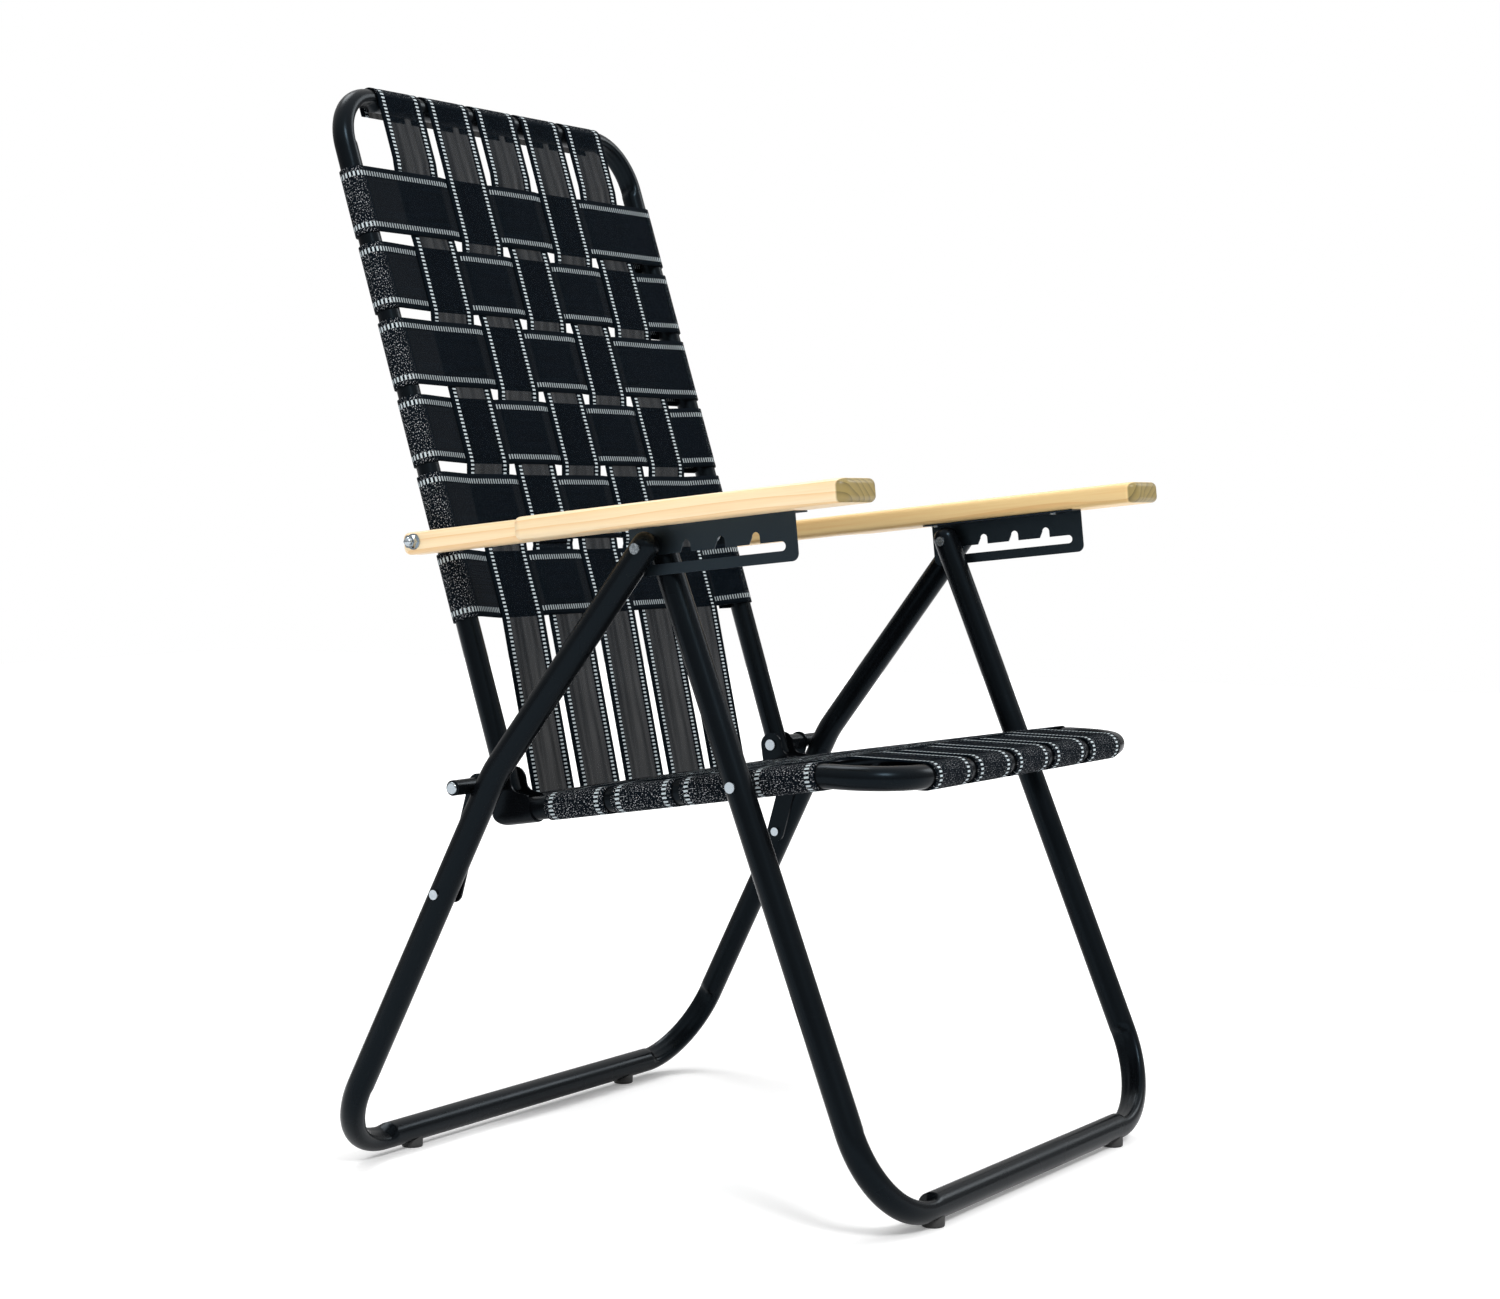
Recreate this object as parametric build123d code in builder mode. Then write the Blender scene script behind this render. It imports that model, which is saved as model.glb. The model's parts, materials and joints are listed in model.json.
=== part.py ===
"""Folding lounge chair: webbed high back and seat on bent tube, wooden arms.

Frame: millimetres, +Z up, the chair faces -Y, +X is the left of whoever sits in it.
The origin is the middle of the footprint on the floor. Places in the side view are
written as (rearward of the top pins, height).
"""

import os
from math import asin, atan2, cos, degrees, hypot, radians, sin, tan

from build123d import *

os.makedirs("parts", exist_ok=True)

# Tube sizes
leg_tube = 22.0
seat_tube = 19.0
tube_wall = 1.2
rear_tube = 19.0

# Legs, in the side view
pin_height = 513.0
front_reach = 199.3
rear_reach = 305.8
bar_height = 15.5
knee_reach = 139.8
knee_height = 335.6
seat_rivet_height = 334.0
link_rivet_height = 237.0
leg_overrun = 12.4
leg_end_height = 7.0
leg_end_round = 9.0

# Legs, in the front view
front_top_half = 229.85
front_splay = 12.1
rear_splay = 7.5
plate_gap = 1.35
rear_leg_gap = 0.8
front_corner_bend = 75.0
rear_corner_bend = 80.0
knee_bend = 90.0

# Feet
foot_length = 25.0
foot_width = 14.0
foot_top = 8.0
foot_round = 2.0
front_foot_place = 160.0
rear_foot_place = 158.0

# Seat and back frames
rail_inset = 22.25
rail_bend = 45.0
seat_tilt = 8.4
seat_front_reach = 195.7
seat_end_past_tube = 20.0
hinge_reach = 165.5
hinge_height = 324.0
back_lean = 17.51
back_length = 589.3
rail_past_hinge = 11.0
rear_tube_ahead = 15.5
rear_tube_drop = 20.2
collar_wide = 2.0
collar_long = 4.0

# Webbing
strap_width = 57.0
strap_thick = 1.3
strap_lift = 0.2
strap_gap = 0.1
strap_pitch = 67.0
strap_count = 5
strap_tail = 20.0
strap_ramp = 12.0
weave_round = 4.0
wrap_round = 9.9
row_pitch = 66.1
row_count = 6
low_share = 0.631762
cross_pitch = 65.0
cross_count = 4
rearmost_cross = 168.5
back_strap_end = 14.0
back_strap_behind = 2.0
tuck_rise = 8.0
dive_start = 3.0

# Hinge clips at the rear of the seat
sheet = 1.5
clip_front = 26.5
clip_rear = 10.9
clip_top_round = 10.9
clip_front_rise = 9.0
clip_slack = 0.2

# Hinge bolt stack
pivot_pin = 3.5
running = 0.05
free_gap = 0.3
spacer_tube = 15.0
link_gap = 1.1
link_thick = 2.0
link_width = 18.0
link_hole = 3.0
roller_tube = 12.4
roller_reach = 24.0
end_cap_wide = 9.5
end_cap_thick = 2.0
hinge_head_wide = 10.0
head_thick = 2.0
head_slack = 0.15
top_pin = 3.2
top_head_wide = 8.6
seat_rivet = 3.0
seat_head_wide = 8.6
seat_spacer_wide = 11.0
link_head_wide = 8.0

# Arms
arm_slope = 5.75
arm_thick = 20.0
arm_under = 16.3
arm_gap = 5.9
arm_wide = 53.0
arm_narrow = 27.0
arm_front_end = 183.0
arm_past_bolt = 15.0
arm_step_start = 105.0
arm_step_end = 118.0
arm_end_round = 13.0
arm_step_round = 9.0
arm_edge_round = 4.5
bolt_up_rail = 202.0
arm_bolt = 3.0
bolt_head_wide = 10.0
bolt_spacer_wide = 11.0
washer_wide = 13.0
washer_thick = 1.2
nut_wide = 10.0
nut_height = 5.0

# Slotted brackets under the arms
plate_thick = 1.2
plate_rear = 20.5
plate_front = 128.7
plate_drop = 20.9
plate_round = 6.0
slot_front = 118.5
slot_drop = 8.9
slot_wide = 7.2
notch_pitch = 31.0
notch_count = 4
notch_lean = 28.0
flange_inset = 2.0
bracket_screw = 2.0
screw_head_wide = 7.0
screw_head_thick = 1.4
screw_length = 13.0
screw_inset = 10.0
front_screw = 106.0
rear_screw = 12.0

# Worked out from the sizes above
leg_half = leg_tube / 2
tube_half = seat_tube / 2
strap_out = tube_half + strap_lift + strap_thick
rail_half = front_top_half - rail_inset
front_foot_half = front_top_half + front_splay
plate_face = front_top_half + leg_half + plate_gap
rear_top_half = plate_face + plate_thick + rear_leg_gap + leg_half
rear_foot_half = rear_top_half + rear_splay
roller_end = rear_top_half + roller_reach
arm_inner_face = rail_half + tube_half + arm_gap
arm_outer_face = arm_inner_face + arm_wide
arm_narrow_face = arm_inner_face + arm_narrow
flange_inner = arm_inner_face + flange_inset
screw_line = arm_inner_face + screw_inset
rear_tube_reach = hinge_reach - rear_tube_ahead
rear_tube_height = hinge_height - rear_tube_drop
lowest_row = (back_length - (row_count - 1) * row_pitch) * low_share
hinge_to_top = (back_length * sin(radians(back_lean)), back_length * cos(radians(back_lean)))
rear_extent = hinge_reach + hinge_to_top[0] + strap_out
front_extent = front_reach + leg_half
pin_y = (front_extent - rear_extent) / 2
top = (0, pin_height)
front_bar = (-front_reach, bar_height)
rear_bar = (rear_reach, bar_height)
knee = (knee_reach, knee_height)
hinge = (hinge_reach, hinge_height)


def toward(a, b, height):
    """The place at a given height on the line through a and b."""
    share = (height - a[1]) / (b[1] - a[1])
    return (a[0] + (b[0] - a[0]) * share, height)


seat_pivot = toward(top, front_bar, seat_rivet_height)
link_pivot = toward(knee, rear_bar, link_rivet_height)
tilt_sin, tilt_cos = sin(radians(seat_tilt)), cos(radians(seat_tilt))
lean_sin, lean_cos = sin(radians(back_lean)), cos(radians(back_lean))
slope_sin, slope_cos = sin(radians(arm_slope)), cos(radians(arm_slope))
arm_pivot = (hinge[0] + bolt_up_rail * lean_sin, hinge[1] + bolt_up_rail * lean_cos)


def span(a, b):
    return hypot(b[0] - a[0], b[1] - a[1])


def world(at, x=0.0):
    return (x, pin_y + at[0], at[1])


def side(x):
    """Side view plane: local x is rearward of the top pins, local y is up."""
    return Plane(origin=(x, pin_y, 0), x_dir=(0, 1, 0), z_dir=(1, 0, 0))


def seat_side(x):
    """Side view along the seat: local x is rearward from the seat rivet, local y up."""
    return Plane(origin=world(seat_pivot, x), x_dir=(0, tilt_cos, -tilt_sin), z_dir=(1, 0, 0))


def back_side(x):
    """Side view along the back: local x is up the rail from the hinge, local y forward."""
    return Plane(origin=world(hinge, x), x_dir=(0, lean_sin, lean_cos), z_dir=(1, 0, 0))


def arm_side(x):
    """Side view along the arm: local x is forward from the top pin, local y up."""
    return Plane(origin=world(top, x), x_dir=(0, -slope_cos, slope_sin), z_dir=(-1, 0, 0))


def in_seat(at):
    dy, dz = at[0] - seat_pivot[0], at[1] - seat_pivot[1]
    return (dy * tilt_cos - dz * tilt_sin, dy * tilt_sin + dz * tilt_cos)


def in_back(at):
    dy, dz = at[0] - hinge[0], at[1] - hinge[1]
    return (dy * lean_sin + dz * lean_cos, dz * lean_sin - dy * lean_cos)


def in_arm(at):
    dy, dz = at[0] - top[0], at[1] - top[1]
    return (dz * slope_sin - dy * slope_cos, dy * slope_sin + dz * slope_cos)


seat_plane = Plane(origin=world(seat_pivot), x_dir=(1, 0, 0), z_dir=(0, tilt_sin, tilt_cos))
back_plane = Plane(origin=world(hinge), x_dir=(1, 0, 0), z_dir=(0, -lean_cos, lean_sin))
hinge_in_seat = in_seat(hinge)
tube_in_seat = in_seat((rear_tube_reach, rear_tube_height))
bolt_in_arm = in_arm(arm_pivot)
seat_front = (seat_front_reach + seat_pivot[0]) / tilt_cos
front_leg_length = span(front_bar, top)
front_leg_up = ((top[0] - front_bar[0]) / front_leg_length, (top[1] - front_bar[1]) / front_leg_length)
thigh = span(top, knee)
shin = span(knee, rear_bar)


def leg_half_at(at):
    """Half width between the rear leg centre lines at a place below the knee."""
    flare = (rear_foot_half - rear_top_half) / (thigh + shin)
    return rear_top_half + flare * (thigh + span(knee, at))


link_leg = leg_half_at(link_pivot)
link_inner_face = link_leg - leg_half - link_thick - link_gap


def rod(at, start, end, radius, mode=Mode.ADD):
    """A round bar across the chair at one place of the side view."""
    with BuildSketch(side(start)) as disc:
        with Locations(at):
            Circle(radius)
    extrude(disc.sketch, amount=end - start, mode=mode)


def drill(at, radius):
    """A hole right across the chair, through both sides."""
    rod(at, -roller_end, roller_end, radius, mode=Mode.SUBTRACT)


def tube(line, width, wall=tube_wall, mode=Mode.ADD):
    """A round tube along a line, or a full bar where the wall is zero."""
    with BuildSketch(Plane(origin=line @ 0, z_dir=line % 0)) as ring:
        Circle(width / 2)
        if wall > 0:
            Circle(width / 2 - wall, mode=Mode.SUBTRACT)
    sweep(ring.sketch, path=line, mode=mode)


def save(builder, name):
    builder.part.label = name
    export_step(builder.part, "parts/" + name + ".step")


def save_pair(builder, name):
    """Writes the left piece and its mirror image on the right."""
    save(builder, "left_" + name)
    with BuildPart() as other:
        mirror(builder.part, about=Plane.YZ)
    save(other, "right_" + name)


def front_leg_line():
    """Centre line of the front legs and their floor bar, in their own flat plane."""
    flare = (front_top_half - front_foot_half) / front_leg_length
    end = front_leg_length + leg_overrun - leg_end_height
    high = front_foot_half + flare * end
    return FilletPolyline(
        (high, end),
        (front_foot_half, 0),
        (-front_foot_half, 0),
        (-high, end),
        radius=front_corner_bend,
    )


def rear_leg_line():
    """Centre line of the rear legs: a slight knee, then down to the floor bar."""
    flare = (rear_foot_half - rear_top_half) / (thigh + shin)
    past = leg_overrun - leg_end_height
    up = ((top[0] - knee[0]) / thigh, (top[1] - knee[1]) / thigh)
    end = (top[0] + up[0] * past, top[1] + up[1] * past)
    knee_half = rear_top_half + flare * thigh
    high = rear_top_half - flare * past
    return FilletPolyline(
        world(end, high),
        world(knee, knee_half),
        world(rear_bar, rear_foot_half),
        world(rear_bar, -rear_foot_half),
        world(knee, -knee_half),
        world(end, -high),
        radius=[knee_bend, rear_corner_bend, rear_corner_bend, knee_bend],
    )


def close_ends(line):
    """Closed tops of a leg frame."""
    for place, way in ((0, -1), (1, 1)):
        with BuildSketch(Plane(origin=line @ place, z_dir=(line % place) * way)) as lid:
            Circle(leg_half)
        extrude(lid.sketch, amount=leg_end_height)


front_plane = Plane(
    origin=world(front_bar), x_dir=(1, 0, 0), z_dir=(0, -front_leg_up[1], front_leg_up[0])
)

with BuildPart() as front_leg_frame:
    with BuildLine(front_plane) as front_line:
        front_leg_line()
    tube(front_line.line, leg_tube)
    close_ends(front_line.line)
    rise = Axis((0, 0, 0), (0, front_leg_up[0], front_leg_up[1]))
    fillet(front_leg_frame.edges().group_by(rise)[-1], leg_end_round)
    drill(top, top_pin + running)
    drill(seat_pivot, seat_rivet + running)
save(front_leg_frame, "front_leg_frame")

with BuildPart() as rear_leg_frame:
    with BuildLine() as rear_line:
        rear_leg_line()
    tube(rear_line.line, leg_tube)
    close_ends(rear_line.line)
    rise = Axis((0, 0, 0), (0, top[0] - knee[0], top[1] - knee[1]))
    fillet(rear_leg_frame.edges().group_by(rise)[-1], leg_end_round)
    drill(top, top_pin + running)
    drill(link_pivot, link_hole + running)
save(rear_leg_frame, "rear_leg_frame")


def foot_pair(bar, place):
    """Two saddle pads under a floor bar."""
    with BuildSketch(Plane.XY) as pads:
        with Locations((place, pin_y + bar[0]), (-place, pin_y + bar[0])):
            RectangleRounded(foot_length, foot_width, foot_round)
    extrude(pads.sketch, amount=foot_top)


with BuildPart() as front_feet:
    foot_pair(front_bar, front_foot_place)
    tube(front_line.line, leg_tube + 2 * running, 0, Mode.SUBTRACT)
save(front_feet, "front_feet")

with BuildPart() as rear_feet:
    foot_pair(rear_bar, rear_foot_place)
    tube(rear_line.line, leg_tube + 2 * running, 0, Mode.SUBTRACT)
save(rear_feet, "rear_feet")

# Seat frame: a U of tube, open at the rear
seat_end = tube_in_seat[0] + seat_end_past_tube
with BuildPart() as seat_frame:
    with BuildLine(seat_plane) as seat_line:
        FilletPolyline(
            (rail_half, seat_end),
            (rail_half, -seat_front),
            (-rail_half, -seat_front),
            (-rail_half, seat_end),
            radius=rail_bend,
        )
    tube(seat_line.line, seat_tube)
    drill(seat_pivot, seat_rivet + running)
save(seat_frame, "seat_frame")

# Back frame: a tall U upside down, hinged at its two lower ends
with BuildPart() as back_frame:
    with BuildLine(back_plane) as back_line:
        FilletPolyline(
            (rail_half, -rail_past_hinge),
            (rail_half, back_length),
            (-rail_half, back_length),
            (-rail_half, -rail_past_hinge),
            radius=rail_bend,
        )
    tube(back_line.line, seat_tube)
    drill(hinge, pivot_pin + running)
    drill(arm_pivot, arm_bolt + running)
save(back_frame, "back_frame")

# Cross tube at the rear of the seat, held between the inner ears of the clips
clip_inner = rail_half - tube_half - clip_slack - sheet
clip_outer = rail_half + tube_half + clip_slack + sheet
rear_tube_half = clip_inner - clip_slack
with BuildPart() as seat_rear_tube:
    with BuildSketch(side(-rear_tube_half)):
        with Locations((rear_tube_reach, rear_tube_height)):
            Circle(rear_tube / 2)
            Circle(rear_tube / 2 - tube_wall, mode=Mode.SUBTRACT)
    extrude(amount=2 * rear_tube_half)
    for x in (-rear_tube_half, rear_tube_half - collar_long):
        with BuildSketch(side(x)):
            with Locations((rear_tube_reach, rear_tube_height)):
                Circle(rear_tube / 2 + collar_wide)
                Circle(rear_tube / 2 - tube_wall, mode=Mode.SUBTRACT)
        extrude(amount=collar_long)
save(seat_rear_tube, "seat_rear_tube")

# Hinge clips: a U of sheet round the tube end, its two ears rising to the hinge
with BuildPart() as clip:
    clip_start = hinge_in_seat[0] - clip_front
    clip_end = hinge_in_seat[0] + clip_rear
    clip_bottom = tube_half + clip_slack + sheet
    clip_top = hinge_in_seat[1] + clip_top_round
    section = Plane(
        origin=seat_side(0).from_local_coords((clip_start, 0, rail_half)),
        x_dir=(1, 0, 0),
        z_dir=(0, -tilt_cos, tilt_sin),
    )
    with BuildSketch(section):
        Circle(clip_bottom)
        with Locations((0, clip_top / 2)):
            Rectangle(2 * clip_bottom, clip_top)
        Circle(clip_bottom - sheet, mode=Mode.SUBTRACT)
        with Locations((0, clip_top)):
            Rectangle(2 * (clip_bottom - sheet), 2 * clip_top, mode=Mode.SUBTRACT)
    extrude(amount=-(clip_end - clip_start))
    with BuildSketch(seat_side(clip_inner)):
        with BuildLine():
            FilletPolyline(
                (clip_start, -clip_bottom),
                (clip_end, -clip_bottom),
                (clip_end, clip_top),
                (hinge_in_seat[0] - clip_top_round, clip_top),
                (hinge_in_seat[0] - clip_top_round, hinge_in_seat[1] - clip_front_rise),
                (clip_start, clip_bottom),
                radius=[
                    sheet,
                    clip_top_round - sheet,
                    clip_top_round - running,
                    clip_top_round - running,
                    clip_front_rise,
                    sheet,
                ],
                close=True,
            )
        make_face()
    extrude(amount=clip_outer - clip_inner, mode=Mode.INTERSECT)
    rod(hinge, clip_inner - sheet, clip_outer + sheet, pivot_pin + running, Mode.SUBTRACT)
save_pair(clip, "clip_bracket")

# Hinge bolts, with everything that is threaded on them outside the clips
head_start = clip_inner - head_thick
with BuildPart() as pivot_bolts:
    rod(hinge, head_start, clip_inner, hinge_head_wide / 2)
    rod(hinge, clip_inner, roller_end, pivot_pin)
    mirror(about=Plane.YZ)
save(pivot_bolts, "pivot_bolts")


def sleeve(start, end, width, bore):
    """A plain bush round the hinge bolt, on both sides of the chair."""
    rod(hinge, start, end, width / 2)
    rod(hinge, start, end, bore, Mode.SUBTRACT)
    mirror(about=Plane.YZ)


with BuildPart() as pivot_spacers:
    sleeve(clip_outer + clip_slack, link_inner_face - clip_slack, spacer_tube, pivot_pin + running)
save(pivot_spacers, "pivot_spacers")

link_outer_face = link_inner_face + link_thick
with BuildPart() as pivot_rollers:
    sleeve(link_outer_face + free_gap, roller_end, roller_tube, pivot_pin + running)
save(pivot_rollers, "pivot_rollers")

with BuildPart() as pivot_end_caps:
    rod(hinge, roller_end, roller_end + end_cap_thick, end_cap_wide / 2)
    cap_rim = pivot_end_caps.edges().group_by(Axis.X)[-1]
    fillet(cap_rim, end_cap_thick / 2)
    mirror(about=Plane.YZ)
save(pivot_end_caps, "pivot_end_caps")

# Links from the hinge bolts to the rear legs
with BuildPart() as link:
    run = span(hinge, link_pivot)
    mid = ((hinge[0] + link_pivot[0]) / 2, (hinge[1] + link_pivot[1]) / 2)
    turn = degrees(atan2(link_pivot[1] - hinge[1], link_pivot[0] - hinge[0]))
    with BuildSketch(side(link_inner_face)):
        with Locations(Location((mid[0], mid[1]), turn)):
            SlotCenterToCenter(run, link_width)
    extrude(amount=link_thick)
    rod(hinge, 0, roller_end, pivot_pin + running, Mode.SUBTRACT)
    rod(link_pivot, 0, roller_end, link_hole + running, Mode.SUBTRACT)
save_pair(link, "link")

with BuildPart() as link_head:
    rod(link_pivot, link_inner_face - head_thick, link_inner_face, link_head_wide / 2)
    rod(link_pivot, link_inner_face, link_outer_face, link_hole)
save_pair(link_head, "link_rivet_head")


with BuildPart() as link_outer_rivets:
    link_face = link_leg + leg_half + head_slack
    rod(link_pivot, link_leg - leg_half, link_face, link_hole)
    rod(link_pivot, link_face, link_face + head_thick, link_head_wide / 2)
    mirror(about=Plane.YZ)
save(link_outer_rivets, "link_outer_rivets")

# Top pins, in a front and a rear half with the bracket plate between them
with BuildPart() as front_top_pins:
    inner = front_top_half - leg_half - head_slack
    rod(top, inner - head_thick, inner, top_head_wide / 2)
    rod(top, inner, plate_face - free_gap, top_pin)
    mirror(about=Plane.YZ)
save(front_top_pins, "front_top_pins")

with BuildPart() as rear_top_pins:
    outer = rear_top_half + leg_half + head_slack
    rod(top, plate_face + plate_thick + free_gap, outer, top_pin)
    rod(top, outer, outer + head_thick, top_head_wide / 2)
    mirror(about=Plane.YZ)
save(rear_top_pins, "rear_top_pins")

# Rivets that carry the seat on the front legs
seat_leg_share = (pin_height - seat_rivet_height) / (pin_height - bar_height)
seat_leg_half = front_top_half + (front_foot_half - front_top_half) * seat_leg_share
with BuildPart() as seat_rivets:
    inner = rail_half - tube_half
    outer = seat_leg_half + leg_half + head_slack
    rod(seat_pivot, inner - head_thick, inner, seat_head_wide / 2)
    rod(seat_pivot, inner, outer, seat_rivet)
    rod(seat_pivot, outer, outer + head_thick, seat_head_wide / 2)
    mirror(about=Plane.YZ)
save(seat_rivets, "seat_rivets")

with BuildPart() as seat_spacers:
    start = rail_half + tube_half + clip_slack
    rod(seat_pivot, start, seat_leg_half - leg_half - clip_slack, seat_spacer_wide / 2)
    rod(seat_pivot, 0, roller_end, seat_rivet + running, Mode.SUBTRACT)
    mirror(about=Plane.YZ)
save(seat_spacers, "seat_spacers")

# Wooden arms: narrower behind the step, so that they fold past the rear legs
arm_rear_end = -bolt_in_arm[0] + arm_past_bolt
arm_plane = Plane(
    origin=arm_side(0).from_local_coords((0, arm_under, 0)),
    x_dir=(1, 0, 0),
    z_dir=(0, slope_sin, slope_cos),
)
with BuildPart() as arm:
    with BuildSketch(arm_plane):
        with BuildLine():
            FilletPolyline(
                (arm_inner_face, -arm_front_end),
                (arm_outer_face, -arm_front_end),
                (arm_outer_face, arm_step_start),
                (arm_narrow_face, arm_step_end),
                (arm_narrow_face, arm_rear_end),
                (arm_inner_face, arm_rear_end),
                radius=[
                    arm_end_round,
                    arm_end_round,
                    arm_step_round,
                    arm_step_round,
                    arm_end_round * 3 / 4,
                    arm_end_round * 3 / 4,
                ],
                close=True,
            )
        make_face()
    extrude(amount=arm_thick)
    up = Axis((0, 0, 0), (0, slope_sin, slope_cos))
    rims = arm.faces().sort_by(up)
    fillet(rims[-1].edges() + rims[0].edges(), arm_edge_round)
    rod(arm_pivot, arm_inner_face - sheet, arm_outer_face, arm_bolt + running, Mode.SUBTRACT)
    with BuildSketch(arm_plane):
        with Locations((screw_line, -front_screw), (screw_line, rear_screw)):
            Circle(bracket_screw + running)
    extrude(amount=screw_length, mode=Mode.SUBTRACT)
save_pair(arm, "arm")

# Arm bolts, in two halves that meet between the rails and the arms
with BuildPart() as arm_bolt_heads:
    inner = rail_half - tube_half
    rod(arm_pivot, inner - head_thick, inner, bolt_head_wide / 2)
    rod(arm_pivot, inner, arm_inner_face - clip_slack, arm_bolt)
    mirror(about=Plane.YZ)
save(arm_bolt_heads, "arm_bolt_heads")

with BuildPart() as arm_spacers:
    start = rail_half + tube_half + clip_slack
    rod(arm_pivot, start, arm_inner_face - clip_slack, bolt_spacer_wide / 2)
    rod(arm_pivot, 0, roller_end, arm_bolt + running, Mode.SUBTRACT)
    mirror(about=Plane.YZ)
save(arm_spacers, "arm_spacers")

nut_face = arm_narrow_face + washer_thick
with BuildPart() as arm_bolt_end:
    rod(arm_pivot, arm_inner_face, nut_face, arm_bolt)
save_pair(arm_bolt_end, "arm_bolt_end")

with BuildPart() as arm_washer:
    rod(arm_pivot, arm_narrow_face, nut_face, washer_wide / 2)
    rod(arm_pivot, 0, roller_end, arm_bolt + running, Mode.SUBTRACT)
save_pair(arm_washer, "arm_washer")

with BuildPart() as arm_cap_nut:
    with BuildSketch(side(nut_face)):
        with Locations(arm_pivot):
            RegularPolygon(nut_wide / 2, 6, major_radius=False)
    extrude(amount=nut_height)
    with Locations(Location(world(arm_pivot, nut_face + nut_height))):
        Sphere(nut_wide / 2 - washer_thick)
save_pair(arm_cap_nut, "arm_cap_nut")

# Slotted brackets: the top pin rests in one of the notches
with BuildPart() as bracket:
    slot_half = slot_wide / 2
    lean = tan(radians(notch_lean)) * slot_drop
    with BuildSketch(arm_side(plate_face + plate_thick)):
        with BuildLine():
            FilletPolyline(
                (-plate_rear, arm_under),
                (-plate_rear, -plate_drop),
                (plate_front, -plate_drop),
                (plate_front, arm_under),
                radius=[0, plate_round, plate_round, 0],
                close=True,
            )
        make_face()
        for k in range(notch_count):
            at = k * notch_pitch
            with Locations((at, 0)):
                Circle(slot_half, mode=Mode.SUBTRACT)
            with BuildLine():
                Polyline(
                    (at - slot_half, 0),
                    (at + slot_half, 0),
                    (at + slot_half, -slot_drop),
                    (at - slot_half - lean, -slot_drop),
                    close=True,
                )
            make_face(mode=Mode.SUBTRACT)
        slot_rear = -slot_half - lean
        slot_run = slot_front - slot_rear
        with Locations(((slot_front + slot_rear) / 2, -slot_drop)):
            SlotOverall(slot_run, slot_wide, mode=Mode.SUBTRACT)
    extrude(amount=plate_thick)
    with BuildSketch(arm_side(plate_face)):
        with Locations(((plate_front - plate_rear) / 2, arm_under - plate_thick / 2)):
            Rectangle(plate_front + plate_rear, plate_thick)
    extrude(amount=plate_face - flange_inner)
    with BuildSketch(arm_plane):
        with Locations((screw_line, -front_screw), (screw_line, rear_screw)):
            Circle(bracket_screw + running)
    extrude(amount=-plate_thick, mode=Mode.SUBTRACT)
save_pair(bracket, "slotted_bracket")

with BuildPart() as bracket_screws:
    flange_plane = Plane(
        origin=arm_side(0).from_local_coords((0, arm_under - plate_thick, 0)),
        x_dir=(1, 0, 0),
        z_dir=(0, slope_sin, slope_cos),
    )
    with BuildSketch(flange_plane):
        with Locations((screw_line, -front_screw), (screw_line, rear_screw)):
            Circle(screw_head_wide / 2)
    extrude(amount=-screw_head_thick)
    with BuildSketch(flange_plane):
        with Locations((screw_line, -front_screw), (screw_line, rear_screw)):
            Circle(bracket_screw)
    extrude(amount=screw_length)
save_pair(bracket_screws, "bracket_screws")

# Webbing: flat straps, woven over and under, on the front or top side of the tubes
strap_half = strap_width / 2
strap_mid = tube_half + strap_lift + strap_thick / 2
weave = (strap_thick + strap_gap) / 2
strap_places = [(i - (strap_count - 1) / 2) * strap_pitch for i in range(strap_count)]
rows = [lowest_row + (row_count - 1 - j) * row_pitch for j in range(row_count)]
crosses = [rearmost_cross - k * cross_pitch for k in range(cross_count)]


def over(i, j):
    """1 where the long strap i lies over the cross strap j, else -1."""
    return 1 if (i + j) % 2 else -1


def woven(places, levels):
    """Centre line points of a strap through its crossings."""
    points = []
    for place, level in zip(places, levels):
        points.append((place - strap_half, strap_mid + weave * level))
        points.append((place + strap_half, strap_mid + weave * level))
    return points


def strap(plane, points, radii):
    """A flat strap along a centre line, its width across the plane."""
    with BuildSketch(plane) as profile:
        with BuildLine():
            FilletPolyline(*points, radius=radii)
        trace(line_width=strap_thick)
    extrude(profile.sketch, amount=strap_half, both=True)


def wrapped(points):
    """Points and bend radii of a strap that goes round both side rails, with its tails."""
    reach = rail_half + strap_mid
    start = [(-rail_half + strap_tail, -strap_mid), (-reach, -strap_mid), (-reach, strap_mid)]
    start.append((points[0][0] - strap_ramp, strap_mid))
    finish = [(-x, y) for x, y in reversed(start)]
    every = start + points + finish
    radii = [weave_round] * (len(every) - 2)
    for corner in (0, 1, -1, -2):
        radii[corner] = wrap_round
    return every, radii


def row_plane(along):
    """Section square to the back rails: local x across the chair, local y forward."""
    return Plane(
        origin=back_side(0).from_local_coords((along, 0, 0)),
        x_dir=(1, 0, 0),
        z_dir=(0, -lean_sin, -lean_cos),
    )


def cross_plane(along):
    """Section square to the seat tubes: local x across the chair, local y up."""
    return Plane(
        origin=seat_side(0).from_local_coords((along, 0, 0)),
        x_dir=(1, 0, 0),
        z_dir=(0, -tilt_cos, tilt_sin),
    )


for j in range(row_count):
    with BuildPart() as row:
        levels = [-over(i + 1, j + 1) for i in range(strap_count)]
        points, radii = wrapped(woven(strap_places, levels))
        strap(row_plane(rows[j]), points, radii)
        drill(arm_pivot, bolt_spacer_wide / 2 + strap_lift)
    save(row, "back_row_" + str(j + 1))

for k in range(cross_count):
    with BuildPart() as cross:
        levels = [-over(i + 1, k + 1) for i in range(strap_count)]
        points, radii = wrapped(woven(strap_places, levels))
        strap(cross_plane(crosses[k]), points, radii)
        drill(seat_pivot, seat_spacer_wide / 2 + strap_lift)
    save(cross, "seat_cross_strap_" + str(k + 1))

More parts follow.
